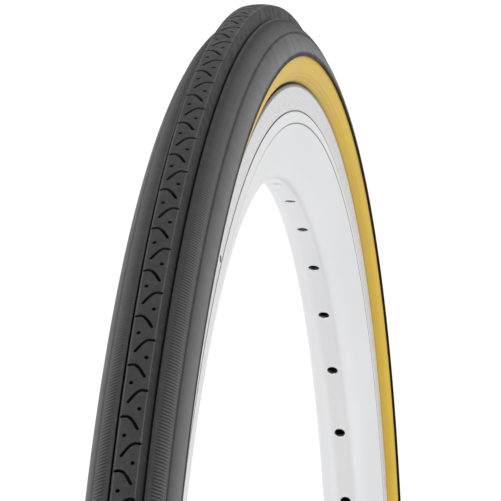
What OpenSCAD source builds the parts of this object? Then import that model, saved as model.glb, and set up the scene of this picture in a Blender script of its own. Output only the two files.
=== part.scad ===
// Bicycle tire, 700 x 35 (37-622), mounted on a deep box-section rim.
// The wheel's centre is the origin, its axle runs along Y, and the valve is at the bottom.
// Sections are drawn as [radius, axial position] and turned about the axle.

/* [Tire] */
// Height of the tire above the bead seat
section_h = 36; // [35:0.5:37]
// Height of the crown above the bottoms of the two grooves
groove_d = 6.6; // [6:0.1:6.8]
// Half width of the centre band
band_half = 4.2; // [4:0.1:4.4]
// Thickness of one casing ply
ply_t = 0.6; // [0.5:0.05:0.6]
// Thickness of the gum sidewall
gum_t = 1.3; // [1:0.1:1.5]
// Radius of a bead wire bundle
bead_r = 1.1; // [0.9:0.1:1.1]
// Wall of the inner tube
tube_t = 1.0; // [0.8:0.1:1]

/* [Rim] */
// Radius of the bead seat, 622 mm across
seat_r = 311; // [311]
// Height of the rim's hooks above the bead seat
flange_h = 5.4; // [5.2:0.1:5.6]
// Width of the rim over its brake tracks
rim_w = 25.2; // [25:0.1:25.6]
// Height of one brake track
track_h = 10.2; // [9.5:0.1:11]
// Depth of the rim below the bead seat
rim_depth = 31.5; // [31:0.1:32]
// Wall of the rim
rim_t = 1.7; // [1.5:0.1:1.7]
// Number of spoke holes
spoke_holes = 48; // [24:12:48]
// Diameter of a spoke hole
spoke_hole_d = 4.6; // [4:0.1:5]

/* [Valve] */
// Radius from the axle to the tip of the valve
valve_tip_r = 254; // [250:1:255]
// Outside diameter of the stem's thread
stem_d = 7.74; // [7.7:0.01:7.8]
// Width of the valve's nut over its flats
nut_af = 12; // [11:1:13]
// Turns of the valve core's spring
spring_turns = 5; // [3:1:7]

/* [Hidden] */

gap = 0.05;
cut = 1;
arc_step = 10;
full_turn_fn = 180;

// Casing line: a quarter ellipse from the crown to the widest point, then a curve into the bead.
casing_rc = seat_r + 15;
casing_a = section_h - 23.2;
casing_b = 14.45;
bead_end = [seat_r + 2.2, 9.8];
bead_p1 = [seat_r + 9.4, casing_b];
bead_p2 = [seat_r + 8.2, 10.2];
bead_c = [seat_r + 2.5, 8.05];

// Tread: side bands follow a wider ellipse, and the centre band stands above it.
tread_rc = seat_r + 12.5;
tread_a = section_h - 16.7;
tread_b = 17.3;
crown_r = seat_r + section_h;
band_edge_r = crown_r - 0.5;
groove_r = crown_r - groove_d;
groove_y = band_half + 1.7;
groove_floor = 0.3;
side_y0 = groove_y + 0.6;
shoulder_y = 12.8;
shoulder_cut = 0.35;
tread_end = 77.5;
casing_tread_end = 79;
chafer_t = 0.55;
belt_end = 50;
belt_short = 12;
belt_t = 0.6;
gum_start = 3;

// Rim: brake track, sloped band, then a round inner wall.
rim_y = rim_w / 2;
rim_top = seat_r + flange_h;
tip_r = rim_t / 2;
track_r = rim_top - track_h;
line_d = 0.4;
line_w = 0.5;
line_run = 0.1;
band_r = track_r - 4.8;
band_y = rim_y + 0.7;
band_line_d = 0.3;
well_d = 2.4;
well_r = seat_r - well_d;
well_edge_y = 8;
well_y = well_edge_y - well_d;
bed_t = 1.6;
bed_slope = 0.6;
hole_flat = spoke_hole_d / 2 + 0.6;
inner_apex = seat_r - rim_depth;
wall_steps = 8;
hole_pitch = 360 / spoke_holes;
bed_hole_r = 4.2;
valve_hole_r = 4.2;
dimple_a = 58.5;
dimple_below = 8.1;
dimple_r = 1.3;
dimple_depth = 0.9;
pin_r = 1.25;
pin_l = 40;
pin_side_gap = 0.35;
pin_bed_gap = 1.1;

// Tube and valve.
tape_up = 1.4;
tape_t = 0.45;
tube_bottom = well_r + 0.8;
tube_foot = 5.5;
tube_flat = tube_foot - 0.9;
tube_inner = tube_bottom + tube_t;
stem_r = stem_d / 2;
fit_gap = 0.06;
pad_r = 4.5;
pad_t = 0.8;
flange_t = 1.2;
core_r = 2.6;
seat_z = valve_tip_r + 14.5;
washer_t = 1;
nut_h = 4.5;
nut_z = inner_apex - 0.15;
pin_shaft_r = 0.55;
plunger_r = 1.5;
spring_top = valve_tip_r + 2.85;
spring_bottom = valve_tip_r + 7.95;
spring_coil_r = 1.0;
wire_r = 0.15;
wire_steps = 14;
wire_sides = 6;
cap_r = 5;
cap_flutes = 20;

// A Bezier curve's point
function bezier(p, t) = pow(1 - t, 3) * p[0] + 3 * t * pow(1 - t, 2) * p[1]
    + 3 * t * t * (1 - t) * p[2] + pow(t, 3) * p[3];
function reversed(p) = [for (i = [len(p) - 1:-1:0]) p[i]];
function mirrored(p) = [for (q = reversed(p)) [q[0], -q[1]]];
// A line moved sideways by d, outwards when d is positive
function shifted(p, d) = [for (i = [0:len(p) - 1])
    let (t = p[min(i + 1, len(p) - 1)] - p[max(i - 1, 0)])
    p[i] + d / norm(t) * [t[1], -t[0]]];
function crown_line(rc, a, b, from, to, step) =
    [for (i = [0:round((to - from) / step)]) let (w = from + i * (to - from) / round((to - from) / step))
        [rc + a * cos(w), b * sin(w)]];

// One side of the rim's inner wall, with a flat strip under the spoke holes, at a depth d in the wall
function rim_wall(d) = let (p = [[band_r - line_w - line_run, band_y - 0.15 - d],
    [band_r - 11.4, band_y - 2.5 - d], [inner_apex + d, band_y - 4 - d], [inner_apex + d, hole_flat]])
    [for (i = [0:wall_steps]) bezier(p, i / wall_steps)];

casing_bead = [[casing_rc, casing_b], bead_p1, bead_p2, bead_end];
casing_side = concat(crown_line(casing_rc, casing_a, casing_b, 0, 90, arc_step),
    [for (i = [1:7]) bezier(casing_bead, i / 7)]);
casing_line = concat(mirrored(casing_side), [for (i = [1:len(casing_side) - 1]) casing_side[i]]);

inner_b = casing_b - ply_t - gap;
inner_bead = [[casing_rc, inner_b], [casing_rc - 6.4, inner_b], [seat_r + 7, 6.2], [seat_r + 1.2, 6.7]];
inner_side = concat(crown_line(casing_rc, casing_a - ply_t - gap, inner_b, 0, 90, arc_step),
    [for (i = [1:7]) bezier(inner_bead, i / 7)]);
inner_line = concat(mirrored(inner_side), [for (i = [1:len(inner_side) - 1]) inner_side[i]]);

tube_side = concat([for (i = [0:len(inner_side) - 3]) shifted(inner_side, -ply_t - 2 * gap)[i]],
    [[seat_r + 3.4, tube_foot + 0.5], [tube_bottom + 0.6, tube_foot + 0.2], [tube_bottom, tube_foot]]);
tube_line = concat(mirrored(tube_side), [for (i = [1:len(tube_side) - 1]) tube_side[i]]);

// Turns a section about the axle
module ring(angle = 360, start = 0)
{
    rotate([-90, 0, 0])
        rotate([0, 0, start])
            rotate_extrude(angle = angle, $fn = full_turn_fn)
                children();
}

// The band between two shifts of a line
module band(line, inside, outside)
{
    polygon(concat(shifted(line, outside), reversed(shifted(line, inside))));
}

// Mirrors to the other side of the wheel
module side_of(side)
{
    mirror([0, side < 0 ? 1 : 0, 0])
        children();
}

// A straight cylinder on the valve's axis, between two radii from the axle
module on_valve(from_r, to_r, r, fn = 64)
{
    translate([0, 0, -from_r])
        cylinder(r = r, h = from_r - to_r, $fn = fn);
}

// A cylinder that runs out from the axle at an angle, measured from the bottom
module radial(angle, from_r, to_r, r)
{
    rotate([0, angle, 0])
        on_valve(from_r, to_r, r, 32);
}

module tread_section()
{
    w0 = asin(side_y0 / tread_b);
    w1 = asin(shoulder_y / tread_b);
    side_in = crown_line(tread_rc, tread_a, tread_b, w0, w1, 6);
    side_out = crown_line(tread_rc, tread_a, tread_b, w1 + 1.5, tread_end, 8);
    lip = side_in[len(side_in) - 1];
    top = concat(
        [[crown_r, 0], [crown_r - 0.15, band_half / 2], [band_edge_r, band_half]],
        [[groove_r, groove_y - groove_floor], [groove_r, groove_y + groove_floor]],
        side_in, [lip - [shoulder_cut, 0]], [side_out[0] - [shoulder_cut, 0]], side_out);
    under = crown_line(casing_rc, casing_a, casing_b, 0, casing_tread_end, arc_step);
    belt = [for (p = under) if (atan2(p[1], p[0] - casing_rc) < belt_end) p];
    rest = [for (p = under) if (atan2(p[1], p[0] - casing_rc) >= belt_end) p];
    low = concat(shifted(belt, belt_t + 2 * gap), shifted(rest, 2 * gap));
    polygon(concat(mirrored(top), [for (i = [1:len(top) - 1]) top[i]],
        reversed(low), [for (i = [1:len(low) - 1]) [low[i][0], -low[i][1]]]));
}

module tread()
{
    color([0.2, 0.2, 0.21])
        ring()
            tread_section();
}

module breaker_strip()
{
    end = belt_end - belt_short;
    line = crown_line(casing_rc, casing_a, casing_b, -end, end, arc_step);
    color([0.75, 0.72, 0.62])
        ring()
            band(line, gap, gap + belt_t);
}

module casing_ply_outer()
{
    color([0.62, 0.52, 0.32])
        ring()
            band(casing_line, -ply_t, 0);
}

module casing_ply_inner()
{
    color([0.58, 0.48, 0.3])
        ring()
            band(inner_line, -ply_t, 0);
}

module sidewall(side)
{
    line = concat(crown_line(casing_rc, casing_a, casing_b, casing_tread_end + gum_start, 90, 4),
        [for (i = [1:6]) bezier(casing_bead, i * 0.1)]);
    color([0.83, 0.69, 0.28])
        side_of(side)
            ring()
                band(line, 2 * gap, gum_t);
}

module sidewall_left() { sidewall(-1); }
module sidewall_right() { sidewall(1); }

module bead_wire(side)
{
    color([0.55, 0.55, 0.56])
        side_of(side)
            ring()
                translate(bead_c)
                    circle(r = bead_r, $fn = 24);
}

module bead_wire_left() { bead_wire(-1); }
module bead_wire_right() { bead_wire(1); }

// Black fabric strip that keeps the rim from wearing the casing
module bead_chafer(side)
{
    line = concat([for (i = [0:4]) bezier(casing_bead, 0.63 + i * 0.09)],
        [bead_end, [seat_r + 1.1, 9.7], [seat_r + 0.75, 9.2], [seat_r + 0.75, 7]]);
    color([0.1, 0.1, 0.1])
        side_of(side)
            ring()
                band(line, 2 * gap, chafer_t);
}

module bead_chafer_left() { bead_chafer(-1); }
module bead_chafer_right() { bead_chafer(1); }

module inner_tube()
{
    wall = shifted(concat(tube_line, [tube_line[0]]), -tube_t);
    color([0.12, 0.12, 0.12])
        difference()
        {
            ring()
                difference()
                {
                    polygon(tube_line);
                    polygon(concat([[tube_inner, -tube_flat]],
                        [for (i = [2:len(tube_line) - 3]) wall[i]],
                        [[tube_inner, tube_flat]]));
                }
            on_valve(tube_inner + cut, tube_bottom - cut, stem_r + fit_gap);
        }
}

module rim_section()
{
    tip = [for (w = [0:30:180]) [rim_top - tip_r + tip_r * sin(w), rim_y - tip_r - tip_r * cos(w)]];
    half = concat(
        [[well_r, well_y], [seat_r, well_edge_y], [seat_r, rim_y - rim_t]],
        tip,
        [[track_r, rim_y], [track_r - line_run, rim_y - line_d], [track_r - line_w, rim_y - line_d],
            [track_r - line_w - line_run, rim_y + 0.1]],
        [[band_r, band_y], [band_r - line_run, band_y - band_line_d],
            [band_r - line_w, band_y - band_line_d]],
        rim_wall(0));
    polygon(concat(half, mirrored(half)));
}

module rim_cavity_section()
{
    half = concat(
        [[well_r - bed_t, well_edge_y], [well_r - bed_t + bed_slope, rim_y - rim_t]],
        [[track_r, rim_y - rim_t]],
        rim_wall(rim_t));
    polygon(concat(half, mirrored(half)));
}

module rim()
{
    color([0.82, 0.83, 0.85])
        difference()
        {
            ring()
                difference()
                {
                    rim_section();
                    rim_cavity_section();
                }
            for (i = [0:spoke_holes - 1])
            {
                radial((i + 0.5) * hole_pitch, inner_apex + rim_t + cut, inner_apex - cut, spoke_hole_d / 2);
                radial((i + 0.5) * hole_pitch, well_r + cut, well_r - bed_t - cut, bed_hole_r);
            }
            on_valve(well_r + cut, inner_apex - cut, valve_hole_r);
            // Wear dimple in the right brake track
            rotate([0, -dimple_a - 90, 0])
                translate([0, rim_y - dimple_depth, dimple_below - rim_top])
                    rotate([-90, 0, 0])
                        cylinder(r = dimple_r, h = dimple_depth + cut, $fn = 24);
        }
}

module rim_tape()
{
    top = well_r + tape_up;
    line = [[top, -well_y - tape_up], [well_r, -well_y], [well_r, well_y], [top, well_y + tape_up]];
    color([0.16, 0.16, 0.17])
        difference()
        {
            ring()
                band(line, gap, gap + tape_t);
            on_valve(well_r + 2, well_r - cut, stem_r + 0.3);
        }
}

// Straight pin across the rim's seam, opposite the valve
module rim_joint_pin(side)
{
    color([0.5, 0.5, 0.52])
        translate([-pin_l / 2, side * (rim_y - rim_t - pin_r - pin_side_gap),
            well_r - bed_t - pin_r - pin_bed_gap])
            rotate([0, 90, 0])
                cylinder(r = pin_r, h = pin_l, $fn = 24);
}

module rim_joint_pin_left() { rim_joint_pin(-1); }
module rim_joint_pin_right() { rim_joint_pin(1); }

module valve_patch()
{
    color([0.15, 0.15, 0.15])
        difference()
        {
            on_valve(tube_inner + gap + pad_t, tube_inner + gap, pad_r);
            on_valve(tube_inner + cut + pad_t, tube_inner - cut, stem_r + fit_gap);
        }
}

module valve_stem()
{
    foot = tube_inner + pad_t + 2 * gap;
    color([0.8, 0.7, 0.45])
        difference()
        {
            union()
            {
                on_valve(foot + flange_t, foot, pad_r);
                on_valve(foot + flange_t / 2, valve_tip_r, stem_r);
            }
            on_valve(seat_z, valve_tip_r - cut, core_r + gap);
            on_valve(seat_z + 6, seat_z - cut, 2.1);
            on_valve(foot + flange_t + cut, seat_z, 1.5);
        }
}

module valve_core_body()
{
    top = valve_tip_r + 1.5;
    color([0.78, 0.66, 0.35])
        difference()
        {
            union()
            {
                on_valve(top + 6.5, top, core_r);
                on_valve(seat_z, top + 6, 1.75);
            }
            on_valve(spring_bottom, top - cut, 1.4);
            on_valve(seat_z + cut, top, pin_shaft_r + 0.08);
        }
}

module valve_core_seal()
{
    color([0.85, 0.25, 0.2])
        difference()
        {
            on_valve(valve_tip_r + 12, valve_tip_r + 9, core_r);
            on_valve(valve_tip_r + 12 + cut, valve_tip_r + 9 - cut, 1.75 + gap);
        }
}

module valve_core_pin()
{
    color([0.75, 0.62, 0.3])
        union()
        {
            on_valve(seat_z + 1.7, valve_tip_r + 0.3, pin_shaft_r, 24);
            on_valve(spring_top - gap, spring_top - 0.6, 1.25, 24);
            on_valve(seat_z + 1.7, seat_z + 0.9, plunger_r, 24);
        }
}

module valve_core_plunger_seal()
{
    color([0.1, 0.1, 0.1])
        difference()
        {
            on_valve(seat_z + 0.85, seat_z + 0.1, plunger_r, 24);
            on_valve(seat_z + 0.85 + cut, seat_z - cut, pin_shaft_r + gap, 24);
        }
}

// Coil spring swept along a helix between the core's ledge and the pin's collar
module valve_core_spring()
{
    rings = spring_turns * wire_steps;
    low = -spring_bottom + wire_r + gap;
    high = -spring_top - wire_r - gap;
    points = [for (i = [0:rings], k = [0:wire_sides - 1])
        let (turn = i * 360 / wire_steps, side = k * 360 / wire_sides,
            r = spring_coil_r + wire_r * cos(side))
        [r * cos(turn), r * sin(turn), low + (high - low) * i / rings + wire_r * sin(side)]];
    skin = [for (i = [0:rings - 1], k = [0:wire_sides - 1])
        let (n = (k + 1) % wire_sides)
        [i * wire_sides + k, (i + 1) * wire_sides + k, (i + 1) * wire_sides + n, i * wire_sides + n]];
    foot = [[for (k = [0:wire_sides - 1]) k]];
    head = [[for (k = [wire_sides - 1:-1:0]) rings * wire_sides + k]];
    color([0.7, 0.7, 0.7])
        polyhedron(points = points, faces = concat(skin, foot, head));
}

module valve_nut_washer()
{
    color([0.2, 0.2, 0.2])
        difference()
        {
            on_valve(nut_z, nut_z - washer_t, 5.6);
            on_valve(nut_z + cut, nut_z - washer_t - cut, stem_r + 0.1);
        }
}

module valve_nut()
{
    top = nut_z - washer_t - gap;
    color([0.8, 0.8, 0.8])
        difference()
        {
            intersection()
            {
                on_valve(top, top - nut_h, nut_af / sqrt(3), 6);
                on_valve(top, top - nut_h, nut_af / sqrt(3) - 0.35);
            }
            on_valve(top + cut, top - nut_h - cut, stem_r + fit_gap);
        }
}

module valve_cap()
{
    skirt = valve_tip_r + 6.5;
    top = valve_tip_r - 3.6;
    color([0.1, 0.1, 0.1])
        difference()
        {
            union()
            {
                on_valve(skirt, top + 1, cap_r);
                on_valve(skirt, top, cap_r - 1);
            }
            on_valve(skirt + cut, valve_tip_r - 1.3, stem_r + 0.08);
            for (i = [0:cap_flutes - 1])
                rotate([0, 0, i * 360 / cap_flutes])
                    translate([cap_r + 0.35, 0, 0])
                        on_valve(skirt - 1, top, 0.6, 16);
        }
}

module valve_cap_seal()
{
    color([0.6, 0.15, 0.12])
        on_valve(valve_tip_r - 0.1, valve_tip_r - 1.2, stem_r - 0.05);
}

tread();
breaker_strip();
casing_ply_outer();
casing_ply_inner();
sidewall_left();
sidewall_right();
bead_wire_left();
bead_wire_right();
bead_chafer_left();
bead_chafer_right();
inner_tube();
rim();
rim_tape();
rim_joint_pin_left();
rim_joint_pin_right();
valve_patch();
valve_stem();
valve_core_body();
valve_core_seal();
valve_core_pin();
valve_core_plunger_seal();
valve_core_spring();
valve_nut_washer();
valve_nut();
valve_cap();
valve_cap_seal();
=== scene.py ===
import math

import bpy
import numpy as np
from mathutils import Matrix, Vector
from mathutils.geometry import delaunay_2d_cdt

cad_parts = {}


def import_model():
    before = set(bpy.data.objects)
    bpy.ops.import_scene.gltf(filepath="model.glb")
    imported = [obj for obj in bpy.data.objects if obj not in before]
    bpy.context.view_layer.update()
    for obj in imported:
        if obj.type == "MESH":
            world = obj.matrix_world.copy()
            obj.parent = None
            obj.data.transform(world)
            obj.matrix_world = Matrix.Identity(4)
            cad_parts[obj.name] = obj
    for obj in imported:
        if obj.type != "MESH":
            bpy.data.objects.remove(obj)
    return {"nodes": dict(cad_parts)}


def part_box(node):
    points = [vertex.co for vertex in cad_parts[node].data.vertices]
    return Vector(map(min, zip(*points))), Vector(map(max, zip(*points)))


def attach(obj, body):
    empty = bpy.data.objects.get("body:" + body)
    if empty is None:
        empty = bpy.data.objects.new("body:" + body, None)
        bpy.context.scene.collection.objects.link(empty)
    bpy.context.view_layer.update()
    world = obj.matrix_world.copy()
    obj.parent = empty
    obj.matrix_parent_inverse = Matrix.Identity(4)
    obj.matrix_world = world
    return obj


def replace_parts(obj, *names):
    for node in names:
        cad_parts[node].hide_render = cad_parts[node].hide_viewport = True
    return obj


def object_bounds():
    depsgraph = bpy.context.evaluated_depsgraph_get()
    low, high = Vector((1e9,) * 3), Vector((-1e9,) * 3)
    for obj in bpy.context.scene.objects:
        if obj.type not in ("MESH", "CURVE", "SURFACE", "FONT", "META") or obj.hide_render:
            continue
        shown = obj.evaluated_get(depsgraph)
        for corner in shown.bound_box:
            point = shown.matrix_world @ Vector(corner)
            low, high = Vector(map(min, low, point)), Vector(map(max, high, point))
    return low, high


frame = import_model()
nodes = frame["nodes"]
cad_low, cad_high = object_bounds()

# ---------------------------------------------------------------- sizes, in millimetres from here on
MM = 0.001


def high(node, axis):
    """The highest coordinate of a CAD node, in millimetres."""
    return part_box(node)[1][axis] / MM


# Tread and casing. Their sections follow ellipses: (radius of the centre, height, half width).
CROWN_R = high("tread", 0)
SEAT_R = CROWN_R - 36
CASING = (SEAT_R + 15, 12.8, 14.45)
SIDE = (SEAT_R + 12.5, 19.3, 17.3)
GUM_T = 1.3
CHAFER_T = 0.5

# Centre band and the groove beside it
BAND_HALF = 4.2
BAND_EDGE_DROP = 0.5
GROOVE_DEPTH = 6.6
GROOVE_Y = BAND_HALF + 1.7
SIDE_START = GROOVE_Y + 0.6

# The shoulder line and the tread's edge, as angles on the side ellipse
SHOULDER = 47.7
EDGE = 77.5

# Pattern of the tread
PITCHES = 102
SIPE_START = 49.6
SIPE_WIDTH = 1.2
SIPE_DEPTH = 2.4
DOT_R = 0.8
DOT_DEPTH = 1.6
RIBS = 1580
RIB_HEIGHT = 0.42
RIB_SHADE = 1.6
KNURL_HEIGHT = 0.13

# Rim: brake track, sloped band between the two lines, inner wall
RIM_TOP = high("rim", 0)
BAND_Y = high("rim", 1)
TRACK_R = RIM_TOP - 10.2
TRACK_Y = BAND_Y - 0.7
BAND_R = TRACK_R - 4.8
APEX_R = SEAT_R - 31.5
RIM_T = 1.7
LINE_DEPTH = 0.4

# Spoke holes, valve hole and wear dimple. The stem fills and covers the cut for the valve.
SPOKE_HOLES = 48
HOLE_STEP = 360 / SPOKE_HOLES
HOLE_R = 2.3
FLAT = HOLE_R + 0.6
VALVE_CUT_R = 2.8
VALVE_ANGLE = 270
DIMPLE_R = RIM_TOP - 8.1
DIMPLE_ANGLE = 58.5

# Valve
TIP_Z = -254.0
STEM_R = 3.87
FOOT_Z = (-312.45, -311.32)
THREAD_START = 29 - SEAT_R
THREAD_DEPTH = 0.42
PITCH = 25.4 / 32


# ---------------------------------------------------------------- mesh helpers
def shaded(mesh, angle=38):
    """Smooth shading with hard edges where faces meet at more than the angle."""
    mesh.polygons.foreach_set("use_smooth", [True] * len(mesh.polygons))
    mesh.set_sharp_from_angle(angle=math.radians(angle))


def add_piece(name, points, faces, material, body="wheel", angle=38, depth=None):
    """A mesh object from points in millimetres, riding on a CAD body."""
    mesh = bpy.data.meshes.new(name)
    mesh.from_pydata((np.asarray(points, float) * MM).tolist(), [], faces)
    mesh.update()
    shaded(mesh, angle)
    if depth is not None:
        layer = mesh.attributes.new("depth", "FLOAT", "POINT")
        layer.data.foreach_set("value", np.asarray(depth, np.float32))
    mesh.materials.append(material)
    piece = bpy.data.objects.new(name, mesh)
    bpy.context.scene.collection.objects.link(piece)
    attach(piece, body)
    return piece


def grid_faces(rows, columns, flip=False):
    """Quads of a grid of points, row after row, with the last row joined to the first."""
    faces = []
    for j in range(rows):
        k = (j + 1) % rows
        for i in range(columns - 1):
            quad = (j * columns + i, j * columns + i + 1, k * columns + i + 1, k * columns + i)
            faces.append(quad[::-1] if flip else quad)
    return faces


def facing_in(points, face, centre):
    """True where a face looks towards the ring (radius, y) instead of away from it."""
    p = np.asarray([points[i] for i in face[:3]])
    normal = np.cross(p[1] - p[0], p[2] - p[0])
    middle = p.mean(0)
    radius = math.hypot(middle[0], middle[2])
    home = np.array([middle[0] / radius * centre[0], centre[1], middle[2] / radius * centre[0]])
    return float(normal @ (middle - home)) < 0


def ring(name, section, material, centre, steps=720, relief=None, depth=None, angle=38):
    """A section of (radius, y) turned about the axle.

    relief(angles, section) adds to the radius, and its dips add to the depth as painted shade; depth gives
    each point's depth, which the tread and rim materials turn into painted shade.
    """
    section = np.asarray(section, float)
    turn = np.linspace(0, 2 * np.pi, steps, endpoint=False)
    radius = np.tile(section[:, 0], (steps, 1))
    deep = None if depth is None else np.tile(depth, (steps, 1))
    if relief is not None:
        height = relief(turn[:, None], section)
        radius = radius + height
        deep = deep + np.clip(-height, 0, None) * RIB_SHADE
    y = np.tile(section[:, 1], (steps, 1))
    points = np.stack([radius * np.cos(turn)[:, None], y, radius * np.sin(turn)[:, None]], -1)
    points = points.reshape(-1, 3)
    faces = grid_faces(steps, len(section))
    if facing_in(points, faces[len(section) // 2], centre):
        faces = grid_faces(steps, len(section), flip=True)
    if deep is not None:
        deep = deep.ravel()
    return add_piece(name, points, faces, material, angle=angle, depth=deep)


def mirrored(section):
    """The same section on the wheel's left side."""
    return [(r, -y) for r, y in section]


def ellipse(shape, low, high_angle, count):
    """Points (radius, y) of an ellipse, by angle from the crown in degrees."""
    centre, a, b = shape
    return [(centre + a * math.cos(w), b * math.sin(w))
            for w in np.radians(np.linspace(low, high_angle, count))]


def bezier(p, t):
    """The point at t on the cubic curve of four control points."""
    p = np.asarray(p, float)
    return (1 - t) ** 3 * p[0] + 3 * t * (1 - t) ** 2 * p[1] + 3 * t * t * (1 - t) * p[2] + t ** 3 * p[3]


def shifted(line, distance):
    """A line moved outwards by a distance, or by one distance a point."""
    p = np.asarray(line, float)
    along = np.gradient(p, axis=0)
    along /= np.linalg.norm(along, axis=1)[:, None]
    out = np.stack([along[:, 1], -along[:, 0]], -1)
    return p + out * np.broadcast_to(np.asarray(distance, float), len(p))[:, None]


def turned(name, profile, material, body, around=64, shape=None, angle=32):
    """A profile of (radius, z) turned about the valve's axis. shape(turn, radius, z) gives the radius."""
    profile = np.asarray(profile, float)
    turn = np.linspace(0, 2 * np.pi, around, endpoint=False)[:, None]
    radius = np.tile(profile[:, 0], (around, 1))
    z = np.tile(profile[:, 1], (around, 1))
    if shape is not None:
        radius = shape(turn, radius, z)
    points = np.stack([radius * np.cos(turn), radius * np.sin(turn), z], -1).reshape(-1, 3)
    faces = grid_faces(around, len(profile))
    return add_piece(name, points, faces, material, body, angle)


# ---------------------------------------------------------------- material helpers
class Look:
    """A Principled material and short ways to add nodes to it."""

    def __init__(self, name, colour, roughness, metallic=0.0, **sockets):
        self.material = bpy.data.materials.new(name)
        self.material.use_nodes = True
        self.tree = self.material.node_tree
        self.shader = self.tree.nodes["Principled BSDF"]
        self.shader.inputs["Base Color"].default_value = (*colour, 1)
        self.shader.inputs["Roughness"].default_value = roughness
        self.shader.inputs["Metallic"].default_value = metallic
        for socket, value in sockets.items():
            self.shader.inputs[socket.replace("_", " ")].default_value = value

    def node(self, kind, **values):
        made = self.tree.nodes.new(kind)
        for key, value in values.items():
            setattr(made, key, value)
        return made

    def link(self, source, target):
        self.tree.links.new(source, target)

    def place(self):
        return self.node("ShaderNodeTexCoord").outputs["Object"]

    def maths(self, operation, a, b=0.0, clamp=False):
        made = self.node("ShaderNodeMath", operation=operation, use_clamp=clamp)
        for socket, value in zip(made.inputs, (a, b)):
            if isinstance(value, (int, float)):
                socket.default_value = value
            else:
                self.link(value, socket)
        return made.outputs[0]

    def axes(self):
        split = self.node("ShaderNodeSeparateXYZ")
        self.link(self.place(), split.inputs[0])
        return split.outputs

    def radius(self):
        """Distance from the axle, in metres."""
        x, _, z = self.axes()
        squares = self.maths("ADD", self.maths("MULTIPLY", x, x), self.maths("MULTIPLY", z, z))
        return self.maths("SQRT", squares)

    def noise(self, scale, detail=3.0, roughness=0.55, place=None):
        made = self.node("ShaderNodeTexNoise")
        made.inputs["Scale"].default_value = scale
        made.inputs["Detail"].default_value = detail
        made.inputs["Roughness"].default_value = roughness
        self.link(place or self.place(), made.inputs["Vector"])
        return made.outputs["Fac"]

    def range(self, value, low, high_value, to_low, to_high):
        made = self.node("ShaderNodeMapRange")
        self.link(value, made.inputs["Value"])
        sockets = ("From Min", "From Max", "To Min", "To Max")
        for socket, number in zip(sockets, (low, high_value, to_low, to_high)):
            made.inputs[socket].default_value = number
        return made.outputs["Result"]

    def ramp(self, value, stops):
        made = self.node("ShaderNodeValToRGB")
        self.link(value, made.inputs["Fac"])
        elements = made.color_ramp.elements
        while len(elements) < len(stops):
            elements.new(0.5)
        for element, (position, colour) in zip(elements, stops):
            element.position = position
            element.color = (*colour, 1)
        return made.outputs["Color"]

    def mix(self, factor, a, b, blend="MIX"):
        made = self.node("ShaderNodeMix", data_type="RGBA", blend_type=blend)
        for socket, value in zip((made.inputs[0], made.inputs[6], made.inputs[7]), (factor, a, b)):
            if isinstance(value, (int, float)):
                socket.default_value = value
            elif isinstance(value, tuple):
                socket.default_value = (*value, 1)
            else:
                self.link(value, socket)
        return made.outputs[2]

    def bump(self, height, distance, strength=1.0, after=None):
        made = self.node("ShaderNodeBump")
        made.inputs["Strength"].default_value = strength
        made.inputs["Distance"].default_value = distance
        self.link(height, made.inputs["Height"])
        if after is not None:
            self.link(after, made.inputs["Normal"])
        return made.outputs["Normal"]

    def finish(self, colour=None, roughness=None, normal=None):
        for source, socket in ((colour, "Base Color"), (roughness, "Roughness"), (normal, "Normal")):
            if source is not None:
                self.link(source, self.shader.inputs[socket])
        return self.material


def shade_depth(look):
    """Millimetres below the surrounding surface, which the meshes carry for their grooves; the materials
    turn it into painted shade.
    """
    return look.node("ShaderNodeAttribute", attribute_name="depth").outputs["Fac"]


def grey(value):
    """A neutral tone, a trace cooler than pure grey."""
    return (value, value, value * 1.01)


def line_shade(look, base):
    """The rim's colour with its two grooved lines darkened as painted shade."""
    return look.mix(look.range(shade_depth(look), 0.05, 0.4, 0.0, 0.85), base, grey(0.03))


def tread_rubber():
    look = Look("tread_rubber", grey(0.06), 0.66, Specular_IOR_Level=0.16)
    _, y, _ = look.axes()
    off_centre = look.maths("ABSOLUTE", y)
    # Painted light and shade across the tread: a painted highlight at the centre band's edge, painted
    # shade on the step, at the side band's foot and at the shoulder line, and the bands lighter outwards
    # as painted light.
    light_zones = look.range(off_centre, 0.0, 0.02, 0.0, 1.0)
    centre_light_tones = [(0.18, grey(0.024)), (0.205, grey(0.060))]
    step_shade_tones = [(0.218, grey(0.014)), (0.295, grey(0.014))]
    side_light_tones = [(0.325, grey(0.024)), (0.60, grey(0.094)), (0.655, grey(0.052)), (0.80, grey(0.128))]
    base = look.ramp(light_zones, centre_light_tones + step_shade_tones + side_light_tones)
    wear = look.range(look.noise(45, 4), 0.3, 0.7, 0.0, 0.14)
    base = look.mix(wear, base, grey(0.06))
    dust = look.noise(420, 5, 0.65)
    base = look.mix(look.range(dust, 0.5, 0.8, 0.0, 0.2), base, (0.105, 0.103, 0.098))
    # Painted shade: the deeper a point lies in the grooves, sipes, dots and ribs, and along the tread's
    # edge, the darker it is.
    deep = shade_depth(look)
    base = look.mix(look.range(deep, 0.15, 1.3, 0.0, 0.95), base, grey(0.004))
    rough = look.range(look.noise(160, 3), 0.3, 0.7, 0.54, 0.72)
    return look.finish(base, rough, look.bump(look.noise(2600, 2), 0.00006, 0.5))


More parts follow.
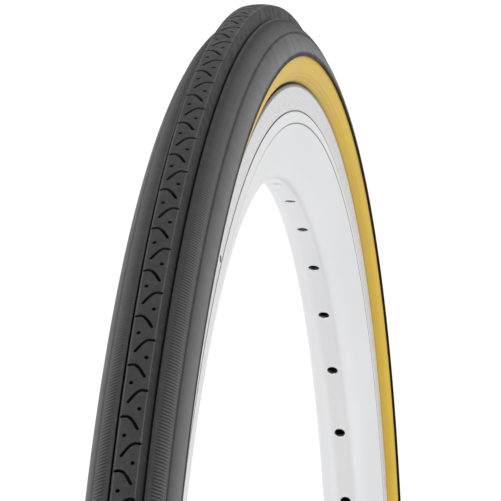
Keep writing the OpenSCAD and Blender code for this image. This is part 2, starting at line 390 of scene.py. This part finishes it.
def gum_rubber():
    look = Look("gum_rubber", (0.62, 0.42, 0.055), 0.48, Specular_IOR_Level=0.22)
    mottled = look.noise(38, 4)
    tones = [(0.3, (0.465, 0.30, 0.016)), (0.55, (0.51, 0.335, 0.019)), (0.8, (0.545, 0.362, 0.024))]
    base = look.ramp(mottled, tones)
    fine = look.noise(900, 3)
    base = look.mix(look.range(fine, 0.45, 0.75, 0.0, 0.3), base, (0.43, 0.265, 0.016))
    near_rim = look.range(look.radius(), (SEAT_R + 7.5) * MM, (SEAT_R + 10.5) * MM, 0.35, 0.0)
    base = look.mix(near_rim, base, (0.36, 0.22, 0.03))
    cords = look.node("ShaderNodeTexWave", wave_type="BANDS", bands_direction="DIAGONAL")
    cords.inputs["Scale"].default_value = 420
    cords.inputs["Distortion"].default_value = 1.0
    look.link(look.place(), cords.inputs["Vector"])
    normal = look.bump(cords.outputs["Fac"], 0.00003, 0.35)
    normal = look.bump(look.noise(2200, 2), 0.00004, 0.5, normal)
    return look.finish(base, look.range(mottled, 0.3, 0.7, 0.42, 0.56), normal)


def chafer_rubber():
    look = Look("chafer_rubber", grey(0.012), 0.7)
    base = look.ramp(look.noise(300, 3), [(0.3, grey(0.008)), (0.7, grey(0.02))])
    return look.finish(base, None, look.bump(look.noise(1800, 2), 0.00008, 0.6))


def machined_aluminium():
    look = Look("machined_aluminium", (0.62, 0.62, 0.63), 0.34, 1.0)
    ring_spacing = 0.34 * MM
    rings = look.maths("MULTIPLY", look.radius(), 1 / ring_spacing)
    rings = look.maths("SINE", look.maths("MULTIPLY", rings, 2 * math.pi))
    uneven = look.noise(1300, 3)
    tone = look.maths("ADD", look.maths("MULTIPLY", rings, 0.1), uneven)
    base = look.ramp(tone, [(0.25, (0.40, 0.40, 0.415)), (0.7, (0.70, 0.70, 0.71))])
    base = line_shade(look, base)
    # Painted shadow of the tyre: the brake track turns nearly black within its top millimetre, under the
    # hook.
    tyre_shadow = look.range(look.radius(), (RIM_TOP - 1.5) * MM, (RIM_TOP - 0.9) * MM, 0.0, 0.93)
    base = look.mix(tyre_shadow, base, grey(0.012))
    return look.finish(base, look.range(uneven, 0.3, 0.7, 0.28, 0.4), look.bump(rings, 0.00001, 0.5))


def anodised_aluminium():
    look = Look("anodised_aluminium", (0.66, 0.66, 0.67), 0.4, 1.0)
    cloudy = look.noise(14, 4)
    base = look.ramp(cloudy, [(0.3, (0.635, 0.638, 0.65)), (0.7, (0.685, 0.687, 0.697))])
    grain = look.noise(2400, 2)
    base = look.mix(look.range(grain, 0.5, 0.8, 0.0, 0.25), base, (0.58, 0.58, 0.595))
    base = line_shade(look, base)
    return look.finish(base, look.range(cloudy, 0.3, 0.7, 0.36, 0.46), look.bump(grain, 0.000012, 0.5))


def inside_aluminium():
    look = Look("inside_aluminium", grey(0.16), 0.7, 1.0)
    base = look.ramp(look.noise(260, 3), [(0.3, grey(0.09)), (0.7, grey(0.2))])
    return look.finish(base, None, look.bump(look.noise(900, 2), 0.00008, 0.5))


def metal(name, low, high_colour, roughness, scale=500):
    look = Look(name, high_colour, roughness, 1.0)
    tone = look.noise(scale, 3)
    base = look.ramp(tone, [(0.3, low), (0.7, high_colour)])
    rough = look.range(tone, 0.3, 0.7, roughness - 0.06, roughness + 0.08)
    return look.finish(base, rough, look.bump(look.noise(3000, 2), 0.00001, 0.4))


def plain_rubber(name, low, high_colour, roughness=0.6, scale=300):
    look = Look(name, high_colour, roughness)
    tone = look.noise(scale, 3)
    base = look.ramp(tone, [(0.3, low), (0.7, high_colour)])
    rough = look.range(tone, 0.3, 0.7, roughness - 0.07, roughness + 0.07)
    return look.finish(base, rough, look.bump(look.noise(1900, 2), 0.00005, 0.5))


def woven(name, low, high_colour, pitch):
    """Cord fabric: threads along the ring and across it."""
    look = Look(name, high_colour, 0.8, Sheen_Weight=0.15)
    _, y, _ = look.axes()
    across = look.maths("SINE", look.maths("MULTIPLY", y, 2 * math.pi / pitch))
    along = look.maths("SINE", look.maths("MULTIPLY", look.radius(), 2 * math.pi / pitch))
    weave = look.maths("MULTIPLY", across, along)
    tone = look.maths("ADD", look.maths("MULTIPLY", weave, 0.25), look.noise(700, 3))
    base = look.ramp(tone, [(0.3, low), (0.75, high_colour)])
    return look.finish(base, None, look.bump(weave, 0.0001, 0.6))


def floor_paint():
    look = Look("floor_paint", (0.93, 0.93, 0.93), 0.85)
    base = look.ramp(look.noise(1.5, 2), [(0.3, (0.925, 0.925, 0.925)), (0.7, (0.94, 0.94, 0.94))])
    return look.finish(base)


TREAD = tread_rubber()
GUM = gum_rubber()
CHAFER = chafer_rubber()
TRACK = machined_aluminium()
RIM = anodised_aluminium()
RIM_INSIDE = inside_aluminium()
BRASS = metal("turned_brass", (0.55, 0.42, 0.19), (0.80, 0.66, 0.34), 0.3)
NICKEL = metal("nickel_plate", (0.66, 0.66, 0.65), (0.82, 0.82, 0.80), 0.2)
STEEL = metal("plain_steel", (0.32, 0.32, 0.33), (0.56, 0.56, 0.57), 0.38)
PLASTIC = plain_rubber("cap_plastic", grey(0.018), grey(0.03), 0.42, 700)
BLACK_RUBBER = plain_rubber("black_rubber", grey(0.014), grey(0.028), 0.55)
RED_RUBBER = plain_rubber("red_rubber", (0.32, 0.03, 0.025), (0.45, 0.06, 0.045), 0.5)
DIMPLE = plain_rubber("dimple_shade", grey(0.006), grey(0.012), 0.7, 900)
CASING_CORD = woven("casing_cord", (0.34, 0.25, 0.12), (0.58, 0.46, 0.26), 0.0008)
BREAKER_CORD = woven("breaker_cord", (0.48, 0.45, 0.36), (0.72, 0.69, 0.58), 0.0011)
TAPE = woven("tape_weave", grey(0.02), grey(0.05), 0.0009)


# ---------------------------------------------------------------- tread: centre band with sipes and dots
def stroke(line, width):
    """The outline of a stroke with round ends along a line of points."""
    line = np.asarray(line, float)
    along = np.gradient(line, axis=0)
    along /= np.linalg.norm(along, axis=1)[:, None]
    side = np.stack([-along[:, 1], along[:, 0]], -1) * width / 2
    caps = []
    for end, sign in ((-1, 1), (0, -1)):
        heading = math.atan2(along[end][1] * sign, along[end][0] * sign)
        caps.append([line[end] + width / 2 * np.array([math.cos(heading + a), math.sin(heading + a)])
                     for a in np.radians([-60, -30, 0, 30, 60])])
    return list((line - side)) + caps[0] + list((line + side)[::-1]) + caps[1]


def circle(centre, radius, count=12):
    """The outline of a circle as a list of points."""
    return [np.asarray(centre) + radius * np.array([math.cos(a), math.sin(a)])
            for a in np.linspace(0, 2 * np.pi, count, endpoint=False)]


def smooth_line(points, rounds=2):
    """Corner cutting, which turns a bent line into a smooth one."""
    p = [np.asarray(q, float) for q in points]
    for _ in range(rounds):
        cut = [p[0]]
        for a, b in zip(p, p[1:]):
            cut += [a * 0.75 + b * 0.25, a * 0.25 + b * 0.75]
        p = cut + [p[-1]]
    return p


def cut_plate(low, high_corner, outlines, rows, columns):
    """Triangles of a rectangle with closed outlines cut out.

    Gives the points, the triangles outside and inside the outlines, and each outline's point numbers.
    """
    clearance = 0.45
    points, edges, rings = [], [], []
    us = np.linspace(low[0], high_corner[0], rows + 1)
    vs = np.linspace(low[1], high_corner[1], columns + 1)
    border = [(u, low[1]) for u in us[:-1]] + [(high_corner[0], v) for v in vs[:-1]]
    border += [(u, high_corner[1]) for u in us[:0:-1]] + [(low[0], v) for v in vs[:0:-1]]
    for loop in [border] + outlines:
        start = len(points)
        points += [tuple(q) for q in loop]
        numbers = list(range(start, len(points)))
        edges += [(a, b) for a, b in zip(numbers, numbers[1:] + numbers[:1])]
        rings.append(numbers)
    for u in us[1:-1]:
        for v in vs[1:-1]:
            if all(min(math.dist((u, v), q) for q in loop) > clearance for loop in outlines):
                points.append((u, v))
    made, _, faces, origin, _, _ = delaunay_2d_cdt([Vector(p) for p in points], edges, [], 0, 1e-5)
    number = {}
    for new, old in enumerate(origin):
        for o in old:
            number[o] = new
    rings = [[number[i] for i in loop] for loop in rings]
    made = [tuple(p) for p in made]
    top, cut_out = [], []
    for face in faces:
        middle = np.mean([made[i] for i in face], axis=0)
        within = any(inside(middle, [made[i] for i in loop]) for loop in rings[1:])
        (cut_out if within else top).append(tuple(face))
    return made, top, cut_out, rings[1:]


def inside(point, loop):
    """True where a point lies within a closed outline."""
    x, y = point
    odd = False
    for (x0, y0), (x1, y1) in zip(loop, loop[1:] + loop[:1]):
        if (y0 > y) != (y1 > y) and x < (x1 - x0) * (y - y0) / (y1 - y0) + x0:
            odd = not odd
    return odd


def centre_band():
    """One pitch holds two sipes and two dots, the second pair mirrored and half a pitch on."""
    pitch = 2 * math.pi * CROWN_R / PITCHES
    sipe = smooth_line([(0.0, -3.75), (0.1, -2.4), (-0.2, -1.2), (-1.9, 0.4), (-4.9, 2.2)])
    dot = (-7.6, -2.0)
    low_u = -pitch * 0.78
    outlines, depths = [], []
    for shift, sign in ((0, 1), (-pitch / 2, -1)):
        outlines.append(stroke([(u + shift, v * sign) for u, v in sipe], SIPE_WIDTH))
        outlines.append(circle((dot[0] + shift, dot[1] * sign), DOT_R))
        depths += [SIPE_DEPTH, DOT_DEPTH]
    wrapped = []
    for loop in outlines:
        middle = np.mean(loop, axis=0)[0]
        move = pitch if middle < low_u + 0.6 else 0
        wrapped.append([(u + move, v) for u, v in loop])
    plate, top, cut_out, rings = cut_plate((low_u, -BAND_HALF), (low_u + pitch, BAND_HALF), wrapped, 24, 8)
    points = [(u, v, 0.0) for u, v in plate]
    faces = list(top)
    hidden = {}
    for loop, deep in zip(rings, depths):
        loop = loop if area(plate, loop) > 0 else loop[::-1]
        rim_points = []
        for i in loop:
            rim_points.append(len(points))
            points.append((*plate[i], deep))
            hidden[i] = rim_points[-1]
        for a, b, c, d in zip(loop, loop[1:] + loop[:1], rim_points[1:] + rim_points[:1], rim_points):
            faces.append((b, a, d, c))
    for face in cut_out:
        floor = []
        for i in face:
            if i not in hidden:
                hidden[i] = len(points)
                points.append((*plate[i], SIPE_DEPTH))
            floor.append(hidden[i])
        faces.append(tuple(floor))
    cell = np.asarray(points)
    crown = BAND_EDGE_DROP * (cell[:, 1] / BAND_HALF) ** 2
    radius = CROWN_R - crown - cell[:, 2]
    used = sorted({i for f in faces for i in f})
    place = {old: new for new, old in enumerate(used)}
    all_points, all_faces, all_depth = [], [], []
    for k in range(PITCHES):
        turn = np.radians(SIPE_START + k * 360 / PITCHES) + cell[:, 0] / CROWN_R
        ring_points = np.stack([radius * np.cos(turn), cell[:, 1], radius * np.sin(turn)], -1)[used]
        all_faces += [tuple(place[i] + len(all_points) for i in f) for f in faces]
        all_points += ring_points.tolist()
        all_depth += cell[used, 2].tolist()
    if facing_in(all_points, all_faces[0], (CASING[0], 0)):
        all_faces = [f[::-1] for f in all_faces]
    return add_piece("tread_centre_band", all_points, all_faces, TREAD, depth=all_depth, angle=50)


def area(plate, loop):
    """Signed area of a loop of point numbers, positive when it runs anticlockwise."""
    p = np.asarray([plate[i] for i in loop])
    q = np.roll(p, -1, axis=0)
    return float((p[:, 0] * q[:, 1] - q[:, 0] * p[:, 1]).sum()) / 2


def side_angle(y):
    """The angle on the side ellipse at a distance from the tread's middle."""
    return math.degrees(math.asin(y / SIDE[2]))


RIB_START = side_angle(SIDE_START) + 2.2


def band_step_section():
    """From the edge of the centre band, down its sloping step, through the groove to the side band."""
    edge = CROWN_R - BAND_EDGE_DROP
    bottom = CROWN_R - GROOVE_DEPTH
    section = [(edge, BAND_HALF), (edge - 0.12, BAND_HALF + 0.2), (edge - 0.45, BAND_HALF + 0.34)]
    section += [(edge - 2.0, BAND_HALF + 0.68), (edge - 4.0, BAND_HALF + 1.1)]
    section += [(bottom + 0.7, BAND_HALF + 1.42)]
    section += [(bottom, GROOVE_Y - 0.16), (bottom, GROOVE_Y + 0.06), (bottom + 0.55, GROOVE_Y + 0.2)]
    section += [(bottom + 1.02, GROOVE_Y + 0.32), (bottom + 1.1, GROOVE_Y + 0.5)]
    # Depth for painted shade, darkest at the groove's bottom.
    depth = [0, 0, 0.05, 0.1, 0.15, 0.25, 1.7, 1.7, 0.6, 0.05, 0.0]
    section += ellipse(SIDE, side_angle(SIDE_START), RIB_START, 4)
    depth += [0.0] * 4
    return section, depth


def section_angles(section):
    """The angle on the side ellipse of each point of a section."""
    return np.degrees(np.arctan2(np.abs(section[:, 1]) / SIDE[2], (section[:, 0] - SIDE[0]) / SIDE[1]))


def rib_relief(turn, section):
    """File ribs across the side band, which fade out at its two edges."""
    w = section_angles(section)
    fade = np.clip((w - 24.8) / 2.5, 0, 1) * np.clip((SHOULDER - 2.2 - w) / 2.0, 0, 1)
    wave = np.sin(turn * RIBS + 0.06 * w)
    return RIB_HEIGHT * fade[None, :] * np.clip(wave * 1.6, -1, 1)


def knurl_relief(turn, section):
    """Fine slanting ribs on the outer shoulder."""
    w = section_angles(section)
    fade = np.clip((w - SHOULDER - 6) / 3, 0, 1) * np.clip((EDGE - 2 - w) / 2, 0, 1)
    return KNURL_HEIGHT * fade[None, :] * np.sin(turn * RIBS + w[None, :] * 0.62)


def tread_side(side):
    """One side of the tread: step and groove, ribbed side band, shoulder line, knurled shoulder, edge."""
    tag = "right" if side > 0 else "left"

    def strip(name, section, depth, steps=720, relief=None, angle=38):
        section = [tuple(q) for q in section]
        section = section if side > 0 else mirrored(section)
        return ring(f"{name}_{tag}", section, TREAD, (CASING[0], 0), steps, relief, depth, angle)

    section, depth = band_step_section()
    pieces = [strip("tread_groove", section, depth)]
    ribs = ellipse(SIDE, RIB_START, SHOULDER - 1.7, 11)
    pieces.append(strip("tread_ribs", ribs, [0.0] * len(ribs), RIBS * 4, rib_relief, 60))

    # (angle from the shoulder line, height above the ellipse, depth for the material's painted shade)
    line = [(-1.7, 0.0, 0), (-1.2, 0.18, 0), (-0.6, 0.12, 0.2), (-0.2, -0.35, 0.9), (0.5, -0.55, 1.1),
            (1.5, -0.5, 0.8), (2.3, -0.3, 0.4), (3.3, -0.18, 0.1)]
    shoulder = [shifted(ellipse(SIDE, SHOULDER + w - 0.5, SHOULDER + w + 0.5, 3), height)[1]
                for w, height, _ in line]
    pieces.append(strip("shoulder_line", shoulder, [deep for _, _, deep in line]))

    knurl = shifted(ellipse(SIDE, SHOULDER + 3.3, EDGE, 13), -0.18)
    edge_shade = [0.0] * 11 + [1.2, 1.6]
    pieces.append(strip("shoulder_knurl", knurl, edge_shade, RIBS * 3, knurl_relief, 60))

    r, y = knurl[-1]
    lip = [(r, y), (r - 0.3, y + 0.05), (r - 0.5, y - 0.05), (r - 0.5, y - 0.4), (r + 0.2, y - 1.3),
           (r + 0.7, y - 2.6)]
    # The tread's edge carries depth for painted shade along it and its underside.
    pieces.append(strip("tread_edge", lip, [1.4, 1.4, 1.5, 1.6, 1.6, 1.6]))
    return pieces


tread_pieces = [centre_band()] + tread_side(1) + tread_side(-1)
for piece in tread_pieces:
    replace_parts(piece, "tread")


# ---------------------------------------------------------------- gum sidewalls and chafers
def casing_line():
    """The outer face of the casing: the last of its ellipse, and the curve into the bead."""
    curve = [(CASING[0], CASING[2]), (SEAT_R + 9.4, CASING[2]), (SEAT_R + 8.2, 10.2), (SEAT_R + 2.2, 9.8)]
    return ellipse(CASING, 82, 90, 6), curve


def sidewall(side):
    """The gum skin of one side, with faint moulded rings, thinning towards the rim."""
    tag = "right" if side > 0 else "left"
    upper, curve = casing_line()
    line = upper + [tuple(bezier(curve, t)) for t in np.linspace(0.03, 0.72, 28)]
    thick = np.full(len(line), GUM_T)
    thick[0] = 0.9
    thick[-5:] = [1.22, 1.12, 0.98, 0.8, 0.45]
    for i, extra in ((17, 0.12), (18, 0.12), (22, 0.1), (23, 0.1)):
        thick[i] += extra
    section = [tuple(p) for p in shifted(line, thick)]
    section = section if side > 0 else mirrored(section)
    piece = ring(f"gum_sidewall_{tag}", section, GUM, (CASING[0] - 3, 0), 960)
    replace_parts(piece, f"sidewall_{tag}")


def chafer(side):
    """The dark strip between the gum and the rim's hook."""
    tag = "right" if side > 0 else "left"
    _, curve = casing_line()
    line = [tuple(bezier(curve, t)) for t in np.linspace(0.56, 1.0, 14)]
    section = [tuple(p) for p in shifted(line, CHAFER_T)]
    section = section if side > 0 else mirrored(section)
    piece = ring(f"chafer_strip_{tag}", section, CHAFER, (SEAT_R + 5, 0), 720)
    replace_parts(piece, f"bead_chafer_{tag}")


for side in (1, -1):
    sidewall(side)
    chafer(side)


# ---------------------------------------------------------------- rim
def wall_line(depth, count):
    """The inner wall from the lower line to the strip under the spoke holes, at a depth in the wall."""
    line = [(BAND_R - 0.6, BAND_Y - 0.15 - depth), (BAND_R - 11.4, BAND_Y - 2.5 - depth),
            (APEX_R + depth, BAND_Y - 4 - depth), (APEX_R + depth, FLAT)]
    return [tuple(bezier(line, t)) for t in np.linspace(0, 1, count)]


def rim_flank(side):
    """One flank of the rim: hook, brake track, wear line, sloped band and second line."""
    tag = "right" if side > 0 else "left"
    tip = RIM_T / 2
    hook = [(SEAT_R, TRACK_Y - RIM_T), (RIM_TOP - tip - 0.5, TRACK_Y - RIM_T)]
    hook += [(RIM_TOP - tip + tip * math.sin(w), TRACK_Y - tip - tip * math.cos(w))
             for w in np.radians(np.linspace(0, 180, 9))]
    track = [(r, TRACK_Y) for r in np.linspace(RIM_TOP - tip - 0.3, TRACK_R + 0.15, 9)]
    line = [(TRACK_R + 0.02, TRACK_Y - 0.06), (TRACK_R - 0.06, TRACK_Y - LINE_DEPTH),
            (TRACK_R - 0.5, TRACK_Y - LINE_DEPTH), (TRACK_R - 0.6, TRACK_Y + 0.1)]
    # Depth for painted shade in the line below the brake track.
    depth = [0.0] * (len(hook) + len(track)) + [0.2, 0.6, 0.6, 0.0]
    section = hook + track + line
    section = section if side > 0 else mirrored(section)
    pieces = [ring(f"brake_track_{tag}", section, TRACK, (SEAT_R - 2, 0), 960, depth=depth, angle=30)]
    start, stop = np.array([TRACK_R - 0.6, TRACK_Y + 0.1]), np.array([BAND_R + 0.1, BAND_Y - 0.01])
    slope = [tuple(start * (1 - t) + stop * t) for t in np.linspace(0, 1, 6)]
    groove = [(BAND_R, BAND_Y - 0.06), (BAND_R - 0.1, BAND_Y - 0.3), (BAND_R - 0.45, BAND_Y - 0.3)]
    wall = wall_line(0.0, 24)
    # Depth for painted shade in the second line.
    depth = [0.0] * len(slope) + [0.2, 0.4, 0.4] + [0.0] * len(wall)
    section = slope + groove + wall
    section = section if side > 0 else mirrored(section)
    pieces.append(ring(f"rim_wall_{tag}", section, RIM, (SEAT_R - 6, 0), 960, depth=depth, angle=30))
    return pieces


def hole_strip():
    """The strip under the spoke holes, cut by each hole's wall, with the valve hole at the bottom."""
    cell = math.radians(HOLE_STEP) * APEX_R
    points, faces = [], []

    def patch(centre_angle, width, holes):
        outlines = [circle((u, 0), r, 28) for u, r in holes]
        corners = (-width / 2, -FLAT), (width / 2, FLAT)
        plate, top, _, rings = cut_plate(*corners, outlines, int(width / 1.3), 4)
        start = len(points)
        used = sorted({i for f in top for i in f} | {i for loop in rings for i in loop})
        place = {old: start + new for new, old in enumerate(used)}

        def at(u, v, deep):
            turn = math.radians(centre_angle) + u / APEX_R
            radius = APEX_R + deep
            return (radius * math.cos(turn), v, radius * math.sin(turn))

        points.extend(at(*plate[i], 0.0) for i in used)
        faces.extend(tuple(place[i] for i in f) for f in top)
        for loop, (u0, hole_radius) in zip(rings, holes):
            loop = loop if area(plate, loop) > 0 else loop[::-1]
            rims = [[place[i] for i in loop]]
            for shrink, deep in ((0.12, 0.16), (0.12, 0.6), (0.12, RIM_T)):
                rims.append([])
                for i in loop:
                    u, v = plate[i]
                    k = 1 - shrink / hole_radius
                    rims[-1].append(len(points))
                    points.append(at(u0 + (u - u0) * k, v * k, deep))
            for a, b in zip(rims, rims[1:]):
                for i in range(len(a)):
                    j = (i + 1) % len(a)
                    faces.append((a[j], a[i], b[i], b[j]))

    for i in range(1, SPOKE_HOLES - 1):
        patch(VALVE_ANGLE + (i + 0.5) * HOLE_STEP, cell, [(0.0, HOLE_R)])
    patch(VALVE_ANGLE, 2 * cell, [(-cell / 2, HOLE_R), (0.0, VALVE_CUT_R), (cell / 2, HOLE_R)])
    return points, faces


def build_hole_strip():
    points, faces = hole_strip()
    if facing_in(points, faces[0], (SEAT_R - 6, 0)):
        faces = [f[::-1] for f in faces]
    return add_piece("rim_hole_strip", points, faces, RIM, angle=40)


def rim_inside():
    """The hollow of the box section, seen through the spoke holes."""
    half = [(SEAT_R - 4.0, 8), (SEAT_R - 3.4, TRACK_Y - RIM_T), (TRACK_R, TRACK_Y - RIM_T)]
    half += wall_line(RIM_T, 10)
    bed = [(SEAT_R - 4.0, -8)] + half
    pieces = [ring("rim_hollow_right", bed, RIM_INSIDE, (0, 0), 240)]
    pieces.append(ring("rim_hollow_left", mirrored(half), RIM_INSIDE, (0, 0), 240))
    return pieces


def wear_dimple():
    """The small round wear mark on the right brake track."""
    around = 24
    turn = math.radians(DIMPLE_ANGLE)
    centre = Vector((DIMPLE_R * math.cos(turn), TRACK_Y + 0.02, DIMPLE_R * math.sin(turn)))
    out = Vector((math.cos(turn), 0, math.sin(turn)))
    along = Vector((-math.sin(turn), 0, math.cos(turn)))
    points = [centre - Vector((0, 0.012, 0))]
    faces = []
    for r, y in ((0.7, 0.0), (1.15, 0.02), (1.3, 0.03)):
        for a in np.linspace(0, 2 * np.pi, around, endpoint=False):
            points.append(centre + out * r * math.cos(a) + along * r * math.sin(a) + Vector((0, y, 0)))
    for i in range(around):
        j = (i + 1) % around
        faces.append((0, 1 + j, 1 + i))
        for k in (1, 1 + around):
            faces.append((k + i, k + j, k + around + j, k + around + i))
    return add_piece("wear_dimple", [tuple(p) for p in points], faces, DIMPLE)


rim_pieces = rim_flank(1) + rim_flank(-1) + [build_hole_strip()] + rim_inside() + [wear_dimple()]
for piece in rim_pieces:
    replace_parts(piece, "rim")


# ---------------------------------------------------------------- valve
def thread(turn, radius, z):
    """A right-handed thread on every point near the stem's outside radius."""
    phase = (z / PITCH - turn / (2 * np.pi)) % 1.0
    groove = THREAD_DEPTH * (1 - 2 * np.abs(phase - 0.5))
    return np.where(np.abs(radius - STEM_R) < 1e-6, radius - groove, radius)


def valve_stem():
    """The threaded stem and the round foot inside the tube."""
    count = int(round((TIP_Z - 0.6 - THREAD_START) / PITCH * 8))
    shank = [(STEM_R, z) for z in np.linspace(THREAD_START, TIP_Z - 0.6, count)]
    lower = [(STEM_R - 0.02, -SEAT_R), (STEM_R - 0.02, THREAD_START - 1.5)]
    lower += [(STEM_R - 0.05, THREAD_START - 0.3)]
    tip = [(STEM_R - 0.45, TIP_Z - 0.15), (STEM_R - 0.6, TIP_Z), (2.85, TIP_Z), (2.65, TIP_Z - 0.3)]
    bore = [(2.65, TIP_Z - 6), (2.65, TIP_Z - 14)]
    profile = lower + shank + tip + bore
    piece = turned("valve_stem_threaded", profile, BRASS, "wheel", 48, thread)
    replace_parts(piece, "valve_stem")
    low, top = FOOT_Z
    foot = [(1.5, low), (4.3, low), (4.5, low + 0.2), (4.5, top - 0.18), (4.3, top), (1.5, top)]
    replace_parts(turned("valve_stem_foot", foot, BRASS, "wheel"), "valve_stem")


def valve_nut():
    """The hexagonal nut with chamfered corners."""
    low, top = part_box("valve_nut")
    z0, z1 = low.z / MM, top.z / MM
    half_across = 6.0

    def hexagon(turn, radius, z):
        flat = half_across / np.cos((turn + np.pi / 6) % (np.pi / 3) - np.pi / 6)
        end = np.minimum(z - z0, z1 - z)
        chamfer = 6.35 + np.clip(end, 0, 2) * 1.4
        return np.where(radius > 4.4, np.minimum(flat, chamfer), radius)

    profile = [(3.93, z0), (4.3, z0)] + [(6.5, z) for z in np.linspace(z0, z1, 15)]
    profile += [(4.3, z1), (3.93, z1 - 0.3), (3.93, z0)]
    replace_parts(turned("valve_nut_hex", profile, NICKEL, "nut", 96, hexagon), "valve_nut")


def valve_washer():
    """The rubber washer between the nut and the rim."""
    low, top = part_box("valve_nut_washer")
    z0, z1 = low.z / MM, top.z / MM
    profile = [(3.97, z0), (5.4, z0), (5.6, z0 + 0.2), (5.6, z1 - 0.2), (5.4, z1), (3.97, z1), (3.97, z0)]
    piece = turned("valve_washer_ring", profile, BLACK_RUBBER, "nut_washer", 64)
    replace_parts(piece, "valve_nut_washer")


def valve_cap():
    """The dust cap with grip flutes, hollow below."""
    low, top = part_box("valve_cap")
    z0, z1 = low.z / MM, top.z / MM
    flute_count, flute_depth = 20, 0.32

    def flutes(turn, radius, z):
        dip = flute_depth * np.clip(np.cos(turn * flute_count), 0, 1) ** 0.7
        fade = np.clip((z - z0 - 0.9) / 0.6, 0, 1) * np.clip((z1 - 1.3 - z) / 0.8, 0, 1)
        return np.where(radius > 4.7, radius - dip * fade, radius)

    outside = [(4.7, z0), (4.95, z0 + 0.15), (5.0, z0 + 0.4)]
    outside += [(5.0, z) for z in np.linspace(z0 + 0.9, z1 - 1.5, 14)]
    outside += [(4.95, z1 - 1.0), (4.6, z1 - 0.45), (3.9, z1 - 0.12), (2.6, z1), (0.02, z1)]
    hollow = [(0.02, z1 - 2.2), (3.9, z1 - 2.2), (3.95, z1 - 2.5), (3.95, z0 + 0.4), (4.25, z0), (4.7, z0)]
    piece = turned("valve_cap_fluted", outside + hollow, PLASTIC, "cap", 160, flutes)
    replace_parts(piece, "valve_cap")


valve_stem()
valve_nut()
valve_washer()
valve_cap()

# ---------------------------------------------------------------- materials of the CAD nodes that stay
KEPT = {
    "breaker_strip": BREAKER_CORD, "casing_ply_outer": CASING_CORD, "casing_ply_inner": CASING_CORD,
    "bead_wire_left": STEEL, "bead_wire_right": STEEL, "inner_tube": BLACK_RUBBER, "rim_tape": TAPE,
    "rim_joint_pin_left": STEEL, "rim_joint_pin_right": STEEL, "valve_patch": BLACK_RUBBER,
    "valve_core_body": BRASS, "valve_core_seal": RED_RUBBER, "valve_core_pin": BRASS,
    "valve_core_plunger_seal": BLACK_RUBBER, "valve_core_spring": STEEL, "valve_cap_seal": RED_RUBBER,
}
for name, material in KEPT.items():
    for slot in nodes[name].material_slots:
        slot.material = material


# ---------------------------------------------------------------- floor, light and camera, in metres
def floor():
    """A pale round floor under the wheel, wide enough that its edge is never in view."""
    radius, sides = 150.0, 48
    turns = np.linspace(0, 2 * np.pi, sides, endpoint=False)
    mesh = bpy.data.meshes.new("floor")
    corners = [(radius * math.cos(a), radius * math.sin(a), cad_low[2]) for a in turns]
    mesh.from_pydata(corners, [], [tuple(range(sides))])
    mesh.materials.append(floor_paint())
    plane = bpy.data.objects.new("floor", mesh)
    bpy.context.scene.collection.objects.link(plane)


def light(name, place, target, size, power, colour=(1, 1, 1)):
    lamp = bpy.data.lights.new(name, "AREA")
    lamp.shape = "DISK"
    lamp.size = size
    lamp.energy = power
    lamp.color = colour
    holder = bpy.data.objects.new(name, lamp)
    holder.location = place
    holder.rotation_euler = (Vector(target) - Vector(place)).to_track_quat("-Z", "Y").to_euler()
    bpy.context.scene.collection.objects.link(holder)


CAMERA_PLACE = (2.1439, 0.3354, 0.433)
CAMERA_VIEW = Vector((-0.98444, -0.15491, -0.0829))
CAMERA_LENS = 406.7


def camera():
    """A long lens close to the wheel's plane, a little above the axle, looking at its upper front."""
    data = bpy.data.cameras.new("camera")
    data.sensor_width = 36
    data.lens = CAMERA_LENS
    data.clip_start = 0.05
    data.clip_end = 2000
    holder = bpy.data.objects.new("camera", data)
    turn = CAMERA_VIEW.to_track_quat("-Z", "Y").to_matrix()
    holder.matrix_world = Matrix.Translation(CAMERA_PLACE) @ turn.to_4x4()
    bpy.context.scene.collection.objects.link(holder)
    bpy.context.scene.camera = holder


def world():
    made = bpy.data.worlds.new("studio")
    made.use_nodes = True
    background = made.node_tree.nodes["Background"]
    background.inputs["Color"].default_value = (1, 1, 1, 1)
    background.inputs["Strength"].default_value = 1.1
    bpy.context.scene.world = made


floor()
world()
light("key", (2.4, -1.6, 1.8), (0.2, 0, 0.1), 1.2, 30)
light("fill", (0.6, 2.2, 1.2), (0, 0, 0.1), 1.6, 14)
camera()
bpy.context.scene.view_settings.view_transform = "Standard"
